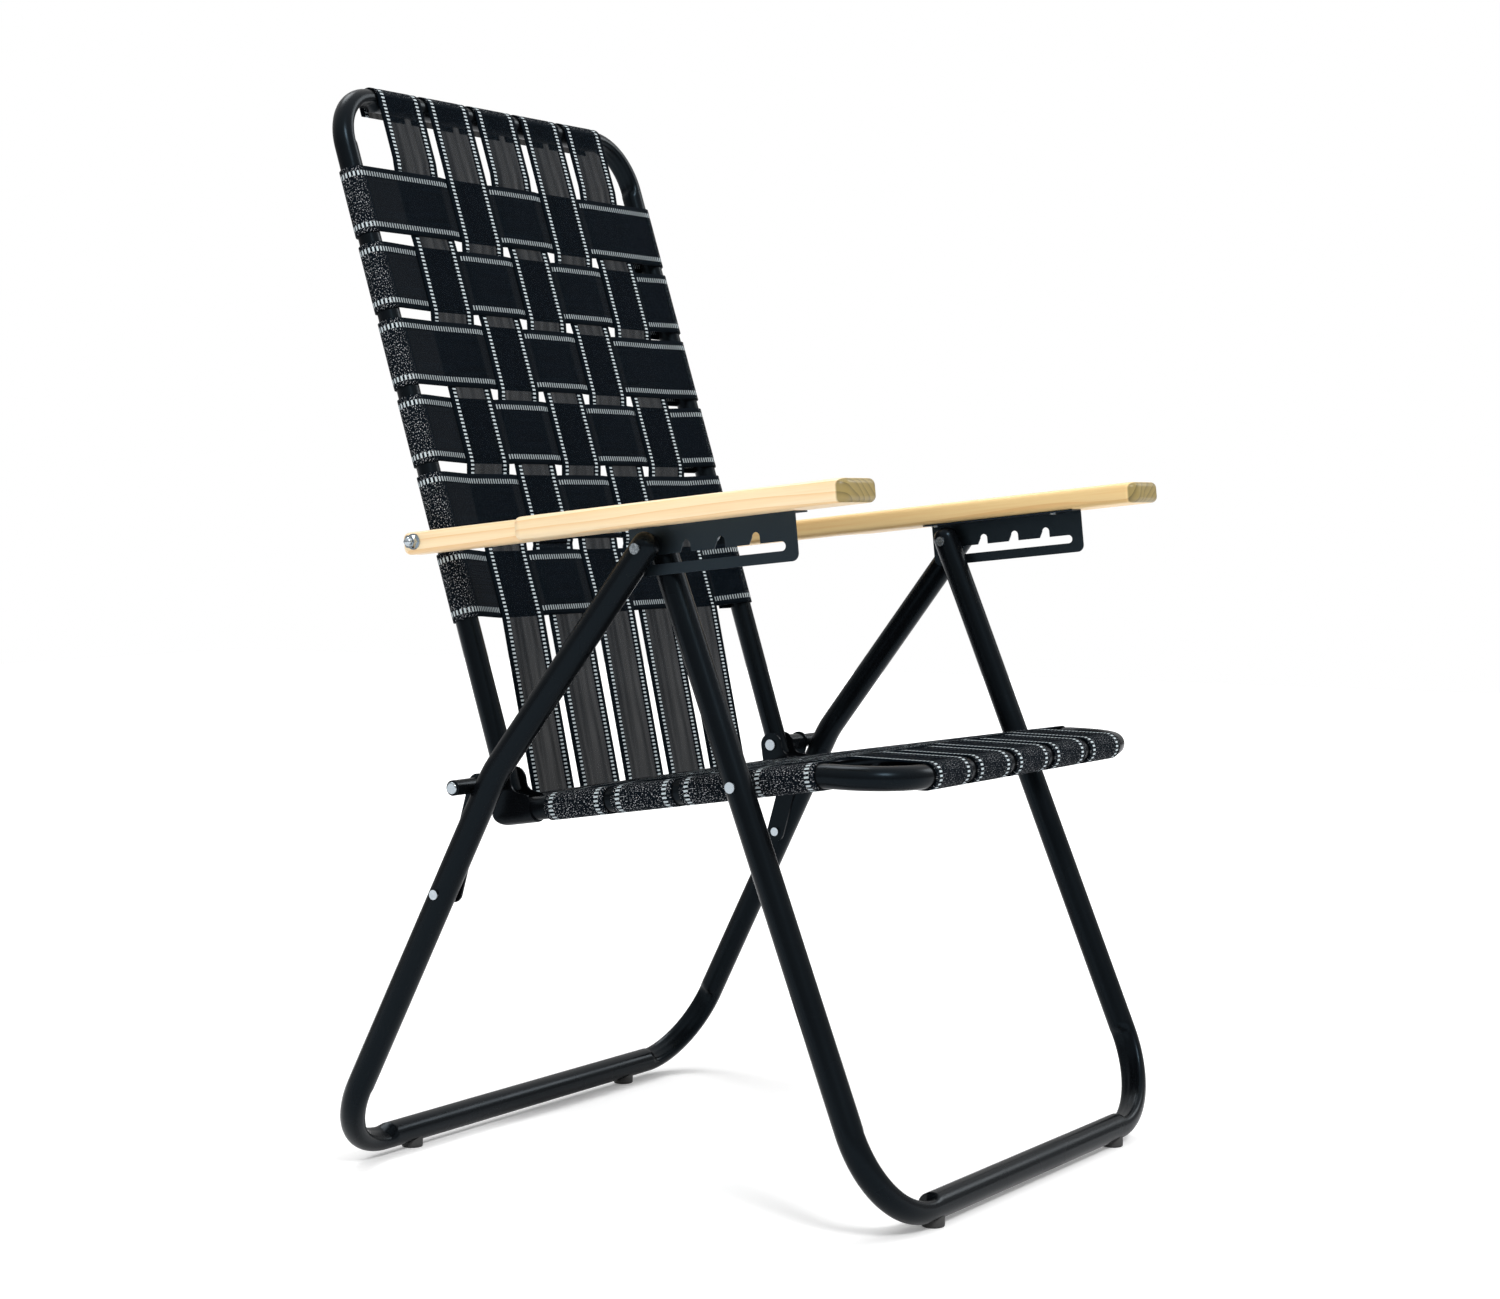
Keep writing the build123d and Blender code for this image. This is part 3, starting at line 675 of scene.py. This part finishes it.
def webbing_material():
    webbing = bpy.context.scene.chair_webbing
    material, tree, shader = new_material("woven_webbing")
    if tree is None:
        return material
    uv = tree.nodes.new("ShaderNodeUVMap")
    uv.uv_map = "strap"
    face = uv.outputs["UV"]
    axes = split(tree, face)
    across, along = axes["X"], axes["Y"]
    off = math_node(tree, "ABSOLUTE", across)
    bend, closed = attribute(tree, "bend"), attribute(tree, "closeness")
    # Dashed stripe near each edge
    from_line = math_node(tree, "ABSOLUTE", math_node(tree, "SUBTRACT", off, STRIPE_PLACE))
    in_stripe = math_node(tree, "LESS_THAN", from_line, STRIPE_HALF)
    beat = math_node(tree, "FRACT", math_node(tree, "MULTIPLY", along, 1 / DASH_PITCH))
    dash = math_node(tree, "LESS_THAN", beat, DASH_SHARE)
    pale = math_node(tree, "MULTIPLY", in_stripe, dash)
    # Lengthwise ends of yarn, with a slow change of weight from end to end
    ends = scaled(tree, face, (1, YARN_DRAWN, 1))
    streak = noise_node(tree, ends, STREAK_GRAIN, 2.0)
    broad = noise_node(tree, ends, BROAD_GRAIN, 2.0)
    picks = math_node(tree, "SINE", math_node(tree, "MULTIPLY", along, 2 * pi / PICK_PITCH))
    warp = math_node(tree, "SINE", math_node(tree, "MULTIPLY", across, 2 * pi / WARP_PITCH))
    grid = math_node(tree, "MULTIPLY", picks, warp)
    lighter = toned(webbing.yarn, YARN_LIGHTER)
    field = mix_colour(tree, spread(tree, streak, 0.35, 0.7), webbing.yarn, lighter)
    # Painted glints: where a strap turns round a tube, pale flecks are painted into its colour for the light its
    # floats catch there
    glint_noise = noise_node(tree, scaled(tree, face, (PAINTED_GLINT_DRAWN, 1, 1)), PAINTED_GLINT_GRAIN, 1.0)
    painted_glint_mask = spread(tree, glint_noise, *PAINTED_GLINT_BAND)
    painted_glint_mask = math_node(tree, "MULTIPLY", painted_glint_mask, spread(tree, bend, *PAINTED_GLINT_BENDS))
    field = mix_colour(tree, math_node(tree, "MULTIPLY", painted_glint_mask, PAINTED_GLINT_SHARE), field, PAINTED_GLINT)
    # Painted shade: the stripe on floats that lie flat across the chair is painted darker than on a turn
    flat = math_node(tree, "SUBTRACT", closed, bend, clamp=True)
    duller = toned(webbing.stripe, PAINTED_FLAT_SHADE)
    stripe = mix_colour(tree, flat, webbing.stripe, duller)
    colour = mix_colour(tree, pale, field, stripe)
    tree.links.new(colour, shader.inputs["Base Color"])
    # The field lets light through between its yarns; stripes, selvages and turns are dense
    cover = math_node(tree, "ADD", webbing.cover, varied(tree, broad, *BROAD_COVER))
    cover = math_node(tree, "ADD", cover, varied(tree, streak, *STREAK_COVER))
    speck = math_node(tree, "MULTIPLY_ADD", grid, GAP_DEPTH, cover)
    speck = math_node(tree, "MAXIMUM", speck, closed)
    selvage = math_node(tree, "GREATER_THAN", off, SELVAGE_START)
    dense = math_node(tree, "MAXIMUM", selvage, spread(tree, bend, *DENSE_BENDS))
    alpha = math_node(tree, "MAXIMUM", speck, dense, clamp=True)
    tree.links.new(alpha, shader.inputs["Alpha"])
    shader.inputs["Roughness"].default_value = WEBBING_ROUGHNESS
    shader.inputs["Specular IOR Level"].default_value = WEBBING_SHEEN
    shader.inputs["Specular Tint"].default_value = COOL_SHEEN
    height = math_node(tree, "MULTIPLY_ADD", streak, 0.6, math_node(tree, "MULTIPLY", grid, 0.5))
    tree.links.new(bump_node(tree, height, *WEBBING_BUMP), shader.inputs["Normal"])
    return material


TUBE_SHEEN = 0.12
SHEET_SHEEN = 0.55
SHEET_DULLER = 0.20
COAT_WORN = 2.2
COAT_WORN_BAND = (0.62, 0.8)
COAT_ROUGHER = (-0.05, 0.07)
PEEL_GRAIN, GLOSS_GRAIN, SCUFF_GRAIN = 700, 14, 60
COAT_BUMP = (0.03, 0.0003)


def coat_material(name="powder_coat", level=TUBE_SHEEN, duller=0.0):
    tubes = bpy.context.scene.chair_tubes
    material, tree, shader = new_material(name)
    if tree is None:
        return material
    place = object_place(tree)
    peel = noise_node(tree, place, PEEL_GRAIN, 2.0)
    cloud = noise_node(tree, place, GLOSS_GRAIN, 3.0)
    scuff = noise_node(tree, scaled(tree, place, (1, 1, 6)), SCUFF_GRAIN, 5.0, 0.7)
    wear = spread(tree, scuff, *COAT_WORN_BAND)
    colour = mix_colour(tree, wear, tubes.coat, toned(tubes.coat, COAT_WORN))
    tree.links.new(colour, shader.inputs["Base Color"])
    middle = tubes.roughness + duller
    rough = varied(tree, cloud, *(middle + more for more in COAT_ROUGHER))
    tree.links.new(rough, shader.inputs["Roughness"])
    shader.inputs["Specular IOR Level"].default_value = level
    shader.inputs["Specular Tint"].default_value = COOL_SHEEN
    tree.links.new(bump_node(tree, peel, *COAT_BUMP), shader.inputs["Normal"])
    return material


ZINC_DARK, ZINC_BRIGHT = (0.28, 0.33, 0.37), (0.60, 0.66, 0.70)
ZINC_GRAIN = 500
ZINC_ROUGHNESS = (0.10, 0.24)
PLASTIC = (0.012, 0.012, 0.012, 1)
PLASTIC_GRAIN = 1800
PLASTIC_ROUGHNESS = (0.42, 0.6)
PLASTIC_BUMP = (0.2, 0.0002)


def zinc_material():
    material, tree, shader = new_material("bright_zinc")
    if tree is None:
        return material
    blotch = noise_node(tree, object_place(tree), ZINC_GRAIN)
    colour = mix_colour(tree, blotch, ZINC_DARK, ZINC_BRIGHT)
    tree.links.new(colour, shader.inputs["Base Color"])
    shader.inputs["Metallic"].default_value = 1.0
    tree.links.new(varied(tree, blotch, *ZINC_ROUGHNESS), shader.inputs["Roughness"])
    return material


def foot_material():
    material, tree, shader = new_material("foot_plastic")
    if tree is None:
        return material
    grain = noise_node(tree, object_place(tree), PLASTIC_GRAIN, 2.0)
    shader.inputs["Base Color"].default_value = PLASTIC
    tree.links.new(varied(tree, grain, *PLASTIC_ROUGHNESS), shader.inputs["Roughness"])
    tree.links.new(bump_node(tree, grain, *PLASTIC_BUMP), shader.inputs["Normal"])
    return material


ARM_SLOPE = radians(5.75)
BOARD_MIDDLE = 0.2495
BOARD_HEIGHT = 0.026
NOSE_PLACE = -0.16
PITH = (-0.030, 0.034)
PITH_STRETCH = 0.035
RING_WAVE = 0.016
WAVE_GRAIN, FIBRE_GRAIN, PATCH_GRAIN, STREAKS_GRAIN = 22, 1400, 30, 170
WAVE_DRAWN, PATCH_DRAWN, FIBRE_DRAWN = 0.12, 0.2, 0.02
# Painted shade on the far arm: deeper pale wood and more streaks
FAR_ARM_PAINTED_SHADE = (1.0, 0.90, 0.66)
STREAKED, FAR_ARM_SHADED_STREAKS = 0.25, 0.45
STREAKS_BAND, FIBRE_BAND, END_BAND = (0.50, 0.72), (0.4, 0.75), (0.22, 0.36)
FIBRE_SHARE = 0.16
PATCH_DARKER = 0.93
LATE_SHARE = 0.62
END_LATE_SHARE = 0.75
END_LATE_DARKER = 0.35
WOOD_ROUGHNESS = (0.34, 0.46)
WOOD_BUMP = (0.25, 0.0003)


def wood_material(side):
    wood = bpy.context.scene.chair_wood
    material, tree, shader = new_material("arm_softwood_" + ("left" if side > 0 else "right"))
    if tree is None:
        return material
    coords = tree.nodes.new("ShaderNodeTexCoord")
    # Local axes: x across the board, y along it, z up through it
    turn = tree.nodes.new("ShaderNodeMapping")
    turn.vector_type = "TEXTURE"
    middle = (BOARD_MIDDLE * side, TOP_PIN.x, TOP_PIN.y + BOARD_HEIGHT)
    turn.inputs["Rotation"].default_value = (-ARM_SLOPE, 0, 0)
    turn.inputs["Location"].default_value = middle
    tree.links.new(coords.outputs["Object"], turn.inputs["Vector"])
    board = turn.outputs["Vector"]
    drawn_out = scaled(tree, board, (1, FIBRE_DRAWN, 1))
    # Rings round a pith beyond the edge of the board, drawn out along it
    wave = noise_node(tree, scaled(tree, board, (1, WAVE_DRAWN, 1)), WAVE_GRAIN, 2.0)
    ring = tree.nodes.new("ShaderNodeVectorMath")
    ring.operation = "LENGTH"
    pith = scaled(tree, board, (1, PITH_STRETCH, 1), (PITH[0] * side, 0, PITH[1]))
    tree.links.new(pith, ring.inputs[0])
    radius = math_node(tree, "MULTIPLY_ADD", wave, RING_WAVE, ring.outputs["Value"])
    beat = math_node(tree, "FRACT", math_node(tree, "MULTIPLY", radius, 1 / wood.ring))
    late = math_node(tree, "POWER", beat, 3.0)
    fibre = noise_node(tree, drawn_out, FIBRE_GRAIN, 2.0)
    patch = noise_node(tree, scaled(tree, board, (1, PATCH_DRAWN, 1)), PATCH_GRAIN, 2.0)
    early, streaked = tuple(wood.early), STREAKED
    # Painted shade: the far arm, on the side above zero, gets deeper, more streaked pale wood for the shade on its
    # side
    if side > 0:
        early = [channel * deeper for channel, deeper in zip(wood.early, FAR_ARM_PAINTED_SHADE)]
        streaked = FAR_ARM_SHADED_STREAKS
    pale = mix_colour(tree, varied(tree, patch), early, toned(early, PATCH_DARKER))
    face = mix_colour(tree, math_node(tree, "MULTIPLY", late, LATE_SHARE), pale, wood.late)
    fibres = spread(tree, fibre, *FIBRE_BAND, 0, FIBRE_SHARE)
    face = mix_colour(tree, fibres, face, wood.late)
    streak = noise_node(tree, drawn_out, STREAKS_GRAIN, 2.0)
    streaks = spread(tree, streak, *STREAKS_BAND, 0, streaked)
    face = mix_colour(tree, streaks, face, wood.late)
    # Cut ends drink the varnish and turn darker; only the front end shows it
    end_late = math_node(tree, "MULTIPLY", late, END_LATE_SHARE)
    end = mix_colour(tree, end_late, wood.end, toned(wood.end, END_LATE_DARKER))
    lengthwise = math_node(tree, "ABSOLUTE", split(tree, coords.outputs["Normal"])["Y"])
    facing = spread(tree, lengthwise, *END_BAND)
    nose = math_node(tree, "LESS_THAN", split(tree, board)["Y"], NOSE_PLACE)
    is_end = math_node(tree, "MULTIPLY", facing, nose)
    tree.links.new(mix_colour(tree, is_end, face, end), shader.inputs["Base Color"])
    tree.links.new(varied(tree, fibre, *WOOD_ROUGHNESS), shader.inputs["Roughness"])
    height = math_node(tree, "MULTIPLY_ADD", late, -0.5, math_node(tree, "MULTIPLY", fibre, 0.4))
    tree.links.new(bump_node(tree, height, *WOOD_BUMP), shader.inputs["Normal"])
    return material


# ---- steel and fasteners


def finish_nodes(names, material):
    for name in names:
        piece = frame["nodes"][name]
        for slot in piece.material_slots:
            slot.material = material


def nodes_of(slot):
    return [row["node"] for row in frame["record"]["subparts"] if row["material_slot"] == slot]


class CHAIR_OT_coated_steel(bpy.types.Operator):
    """Gives the tubes, clips, links and brackets their powder coat"""

    bl_idname = "chair.coated_steel"
    bl_label = "Coated steel"

    def execute(self, context):
        finish_nodes(nodes_of("black_coat"), coat_material())
        plates = [side + "_slotted_bracket" for side in ("left", "right")]
        finish_nodes(plates, coat_material("sheet_coat", SHEET_SHEEN, SHEET_DULLER))
        return {"FINISHED"}


class CHAIR_OT_frame_tubes(bpy.types.Operator):
    """Bends the tubes of the legs, the seat and the back"""

    bl_idname = "chair.frame_tubes"
    bl_label = "Frame tubes"

    def execute(self, context):
        coat = coat_material()
        corners, inner_corners = (True, True), (False, True, True, False)
        top = (0, TOP_PIN.y)
        points = leg_points((FRONT_TOP_HALF, FRONT_FOOT_HALF), (top, FRONT_BAR))
        add_tube(
            "tube_front_legs", "front_leg_frame", "front_legs", points,
            (FRONT_LEG_BEND, FRONT_LEG_BEND), corners, LEG_HALF, coat, LEG_END_ROUND,
        )
        half_widths = (REAR_TOP_HALF, REAR_KNEE_HALF, REAR_FOOT_HALF)
        points = leg_points(half_widths, (top, KNEE, REAR_BAR))
        add_tube(
            "tube_rear_legs", "rear_leg_frame", "rear_legs", points,
            (KNEE_BEND, REAR_LEG_BEND, REAR_LEG_BEND, KNEE_BEND), inner_corners, LEG_HALF, coat,
            LEG_END_ROUND,
        )
        points = [BACK.at(a, 0, RAIL_HALF) for a in (BACK_FOOT, BACK_LENGTH)]
        points += [BACK.at(a, 0, -RAIL_HALF) for a in (BACK_LENGTH, BACK_FOOT)]
        add_tube(
            "tube_back", "back_frame", "back", points, (RAIL_BEND, RAIL_BEND), corners,
            TUBE_HALF, coat,
        )
        rear_end = seat_tube_place().x + SEAT_PAST_TUBE
        line = [(rear_end, 0), (SEAT_DIP_START, 0), tuple(SEAT_FRONT_BAR)]
        points = [SEAT.at(a, b, RAIL_HALF) for a, b in line]
        points += [SEAT.at(a, b, -RAIL_HALF) for a, b in reversed(line)]
        add_tube(
            "tube_seat", "seat_frame", "seat", points,
            (DIP_BEND, RAIL_BEND, RAIL_BEND, DIP_BEND), inner_corners, TUBE_HALF, coat,
        )
        return {"FINISHED"}


class CHAIR_OT_fasteners(bpy.types.Operator):
    """Gives the rivets, bolts, nuts and screws their zinc finish"""

    bl_idname = "chair.fasteners"
    bl_label = "Fasteners"

    def execute(self, context):
        finish_nodes(nodes_of("zinc"), zinc_material())
        return {"FINISHED"}


# ---- feet

FOOT_HALF = 0.0090
FOOT_TOP = 0.0092
FOOT_SIDES = 40
FOOT_ROUND, FOOT_ROUND_STEPS = 0.0012, 3
FRONT_FOOT_PLACE, REAR_FOOT_PLACE = 0.160, 0.158


def add_feet(name, node, body, rearward, place):
    """Two round pads that stand on the floor and bear the bar between them."""
    edit = bmesh.new()
    for x in (-place, place):
        bmesh.ops.create_cone(
            edit, cap_ends=True, segments=FOOT_SIDES, radius1=FOOT_HALF, radius2=FOOT_HALF,
            depth=FOOT_TOP, matrix=Matrix.Translation((x, TOP_PIN.x + rearward, FOOT_TOP / 2)),
        )
    low = [
        edge for edge in edit.edges if all(vert.co.z < SAME_PLACE for vert in edge.verts)
    ]
    rounded(edit, low, FOOT_ROUND, FOOT_ROUND_STEPS)
    bmesh.ops.recalc_face_normals(edit, faces=edit.faces)
    stand_in(name, edit, foot_material(), node, body)


class CHAIR_OT_feet(bpy.types.Operator):
    """Puts the round foot pads under the floor bars"""

    bl_idname = "chair.feet"
    bl_label = "Feet"

    def execute(self, context):
        add_feet("pads_front", "front_feet", "front_legs", FRONT_BAR[0], FRONT_FOOT_PLACE)
        add_feet("pads_rear", "rear_feet", "rear_legs", REAR_BAR[0], REAR_FOOT_PLACE)
        return {"FINISHED"}


# ---- arms

ARM_UNDER = 0.0163
ARM_THICK = 0.0180
ARM_INNER, ARM_OUTER, ARM_NARROW = 0.2230, 0.2760, 0.2500
ARM_FRONT, ARM_REAR = -0.1910, 0.23977
ARM_STEP = (0.105, 0.118)
ARM_CORNERS = (0.010, 0.010, 0.009, 0.009, 0.00975, 0.00975)
ARM_CORNER_STEPS = 8
ARM_RIM, ARM_RIM_STEPS = 0.0050, 5
FLAT = 0.9


def add_arm(side):
    """A board that narrows in a step, rounded at its corners and then along its rims."""
    outline = [
        (ARM_INNER, ARM_FRONT), (ARM_OUTER, ARM_FRONT), (ARM_OUTER, ARM_STEP[0]),
        (ARM_NARROW, ARM_STEP[1]), (ARM_NARROW, ARM_REAR), (ARM_INNER, ARM_REAR),
    ]
    edit = bmesh.new()
    base = edit.faces.new([edit.verts.new((x, y, 0)) for x, y in outline])
    risen = bmesh.ops.extrude_face_region(edit, geom=[base])["geom"]
    lifted = [item for item in risen if isinstance(item, bmesh.types.BMVert)]
    bmesh.ops.translate(edit, verts=lifted, vec=(0, 0, ARM_THICK))
    bmesh.ops.recalc_face_normals(edit, faces=edit.faces)
    for place, radius in zip(outline, ARM_CORNERS):
        corner = [
            edge for edge in edit.edges
            if all((vert.co.xy - Vector(place)).length < SAME_PLACE for vert in edge.verts)
        ]
        ways = [face.normal for face in corner[0].link_faces]
        rounded(edit, corner, radius * tan(ways[0].angle(ways[1]) / 2), ARM_CORNER_STEPS)
    rims = [
        edge for edge in edit.edges
        if len({abs(face.normal.z) > FLAT for face in edge.link_faces}) == 2
    ]
    rounded(edit, rims, ARM_RIM, ARM_RIM_STEPS)
    rear = Vector((0, cos(ARM_SLOPE), -sin(ARM_SLOPE)))
    up = Vector((0, sin(ARM_SLOPE), cos(ARM_SLOPE)))
    pin = Vector((0, TOP_PIN.x, TOP_PIN.y))
    for vert in edit.verts:
        x, y, z = vert.co
        vert.co = pin + Vector((side * x, 0, 0)) + rear * y + up * (ARM_UNDER + z)
    bmesh.ops.recalc_face_normals(edit, faces=edit.faces)
    arm = "left_arm" if side > 0 else "right_arm"
    stand_in("board_" + arm, edit, wood_material(side), arm, arm)


class CHAIR_OT_arms(bpy.types.Operator):
    """Shapes the wooden arms"""

    bl_idname = "chair.arms"
    bl_label = "Wooden arms"

    def execute(self, context):
        for side in (1, -1):
            add_arm(side)
        return {"FINISHED"}


# ---- stage

WHITE, BLACK = (1, 1, 1), (0, 0, 0)
FLOOR_HALF = 6
FLOOR_SEEN, FLOOR_UNSEEN = (0.98, 0.98, 0.98), (0.86, 0.86, 0.87)
FLOOR_GLOW = 0.12
SKY_TOP, SKY_LOW_POWER, SKY_TOP_POWER = 0.9, 0.3, 1.1
SENSOR_WIDTH = 36
SUNS = (
    ("key", (-1.6, -2.2, 2.6), 1.5, 14),
    ("fill", (2.4, -1.2, 1.6), 0.5, 20),
    ("rim", (0.8, 1.3, 2.6), 0.8, 26),
)


def add_floor():
    """A matt floor, seen a little brighter than it lights the chair.

    So only deep shadow tells from white. Through the webbing the floor is plain white,
    like the background behind it.
    """
    edit = bmesh.new()
    bmesh.ops.create_grid(edit, x_segments=1, y_segments=1, size=FLOOR_HALF)
    floor = new_object("floor", edit)
    material, tree, matt = new_material("pale_floor")
    matt.inputs["Roughness"].default_value = 1.0
    matt.inputs["Specular IOR Level"].default_value = 0.0
    matt.inputs["Emission Color"].default_value = (*WHITE, 1)
    path = tree.nodes.new("ShaderNodeLightPath")
    seen = path.outputs["Is Camera Ray"]
    passed = math_node(tree, "GREATER_THAN", path.outputs["Transparent Depth"], 0.5)
    through = math_node(tree, "MULTIPLY", seen, passed)
    pale = mix_colour(tree, seen, FLOOR_UNSEEN, FLOOR_SEEN)
    tree.links.new(mix_colour(tree, through, pale, BLACK), matt.inputs["Base Color"])
    glow = math_node(tree, "MULTIPLY", seen, FLOOR_GLOW)
    glow = math_node(tree, "MAXIMUM", glow, through)
    tree.links.new(glow, matt.inputs["Emission Strength"])
    floor.data.materials.append(material)


def set_world(scene):
    """White where the camera sees it; its light is stronger from overhead."""
    world = bpy.data.worlds.new("studio")
    world.use_nodes = True
    scene.world = world
    tree = world.node_tree
    tree.nodes.clear()
    output = tree.nodes.new("ShaderNodeOutputWorld")
    lit, seen = (tree.nodes.new("ShaderNodeBackground") for _ in range(2))
    for shade in (lit, seen):
        shade.inputs["Color"].default_value = (*WHITE, 1)
    way = tree.nodes.new("ShaderNodeTexCoord").outputs["Generated"]
    power = spread(tree, split(tree, way)["Z"], 0.0, SKY_TOP, SKY_LOW_POWER, SKY_TOP_POWER)
    tree.links.new(power, lit.inputs["Strength"])
    mix = tree.nodes.new("ShaderNodeMixShader")
    path = tree.nodes.new("ShaderNodeLightPath")
    tree.links.new(path.outputs["Is Camera Ray"], mix.inputs[0])
    tree.links.new(lit.outputs[0], mix.inputs[1])
    tree.links.new(seen.outputs[0], mix.inputs[2])
    tree.links.new(mix.outputs[0], output.inputs["Surface"])


def add_sun(name, way, power, wide):
    """A soft lamp that lights the chair and the whole floor evenly."""
    data = bpy.data.lights.new(name, "SUN")
    data.energy = power
    data.angle = radians(wide)
    lamp = bpy.data.objects.new(name, data)
    bpy.context.scene.collection.objects.link(lamp)
    lamp.location = way
    lamp.rotation_euler = (-Vector(way)).to_track_quat("-Z", "Y").to_euler()


def add_camera(scene):
    stage = scene.chair_stage
    data = bpy.data.cameras.new("camera")
    data.sensor_width = SENSOR_WIDTH
    data.lens = stage.lens
    camera = bpy.data.objects.new("camera", data)
    scene.collection.objects.link(camera)
    camera.location = stage.place
    a, e = radians(stage.azimuth), radians(stage.elevation)
    ahead = Vector((-sin(a) * cos(e), cos(a) * cos(e), -sin(e)))
    camera.rotation_euler = ahead.to_track_quat("-Z", "Y").to_euler()
    scene.camera = camera


class CHAIR_OT_stage(bpy.types.Operator):
    """Sets the floor, the light and the camera"""

    bl_idname = "chair.stage"
    bl_label = "Stage"

    def execute(self, context):
        add_floor()
        set_world(context.scene)
        for sun in SUNS:
            add_sun(*sun)
        add_camera(context.scene)
        context.scene.view_settings.view_transform = "Standard"
        return {"FINISHED"}


class CHAIR_PT_panel(bpy.types.Panel):
    """Lists the chair's operators and settings"""

    bl_idname = "CHAIR_PT_panel"
    bl_label = "Lounge Chair"
    bl_space_type = "VIEW_3D"
    bl_region_type = "UI"
    bl_category = "Lounge Chair"

    def draw(self, context):
        for operator in OPERATORS:
            self.layout.operator(operator.bl_idname)
        for group in GROUPS:
            settings = getattr(context.scene, group)
            for name in settings.bl_rna.properties.keys():
                if name not in ("rna_type", "name"):
                    self.layout.prop(settings, name)


GROUPS = {
    "chair_webbing": ChairWebbing,
    "chair_tubes": ChairTubes,
    "chair_wood": ChairWood,
    "chair_stage": ChairStage,
}
OPERATORS = (
    CHAIR_OT_coated_steel,
    CHAIR_OT_frame_tubes,
    CHAIR_OT_fasteners,
    CHAIR_OT_feet,
    CHAIR_OT_arms,
    CHAIR_OT_back_webbing,
    CHAIR_OT_seat_webbing,
    CHAIR_OT_stage,
)


def register():
    for cls in (*GROUPS.values(), *OPERATORS, CHAIR_PT_panel):
        bpy.utils.register_class(cls)
    for name, cls in GROUPS.items():
        setattr(bpy.types.Scene, name, bpy.props.PointerProperty(type=cls))


def unregister():
    for name in GROUPS:
        delattr(bpy.types.Scene, name)
    for cls in reversed((*GROUPS.values(), *OPERATORS, CHAIR_PT_panel)):
        bpy.utils.unregister_class(cls)


def main():
    register()
    for operator in OPERATORS:
        group, name = operator.bl_idname.split(".")
        getattr(getattr(bpy.ops, group), name)()


if __name__ == "__main__":
    main()
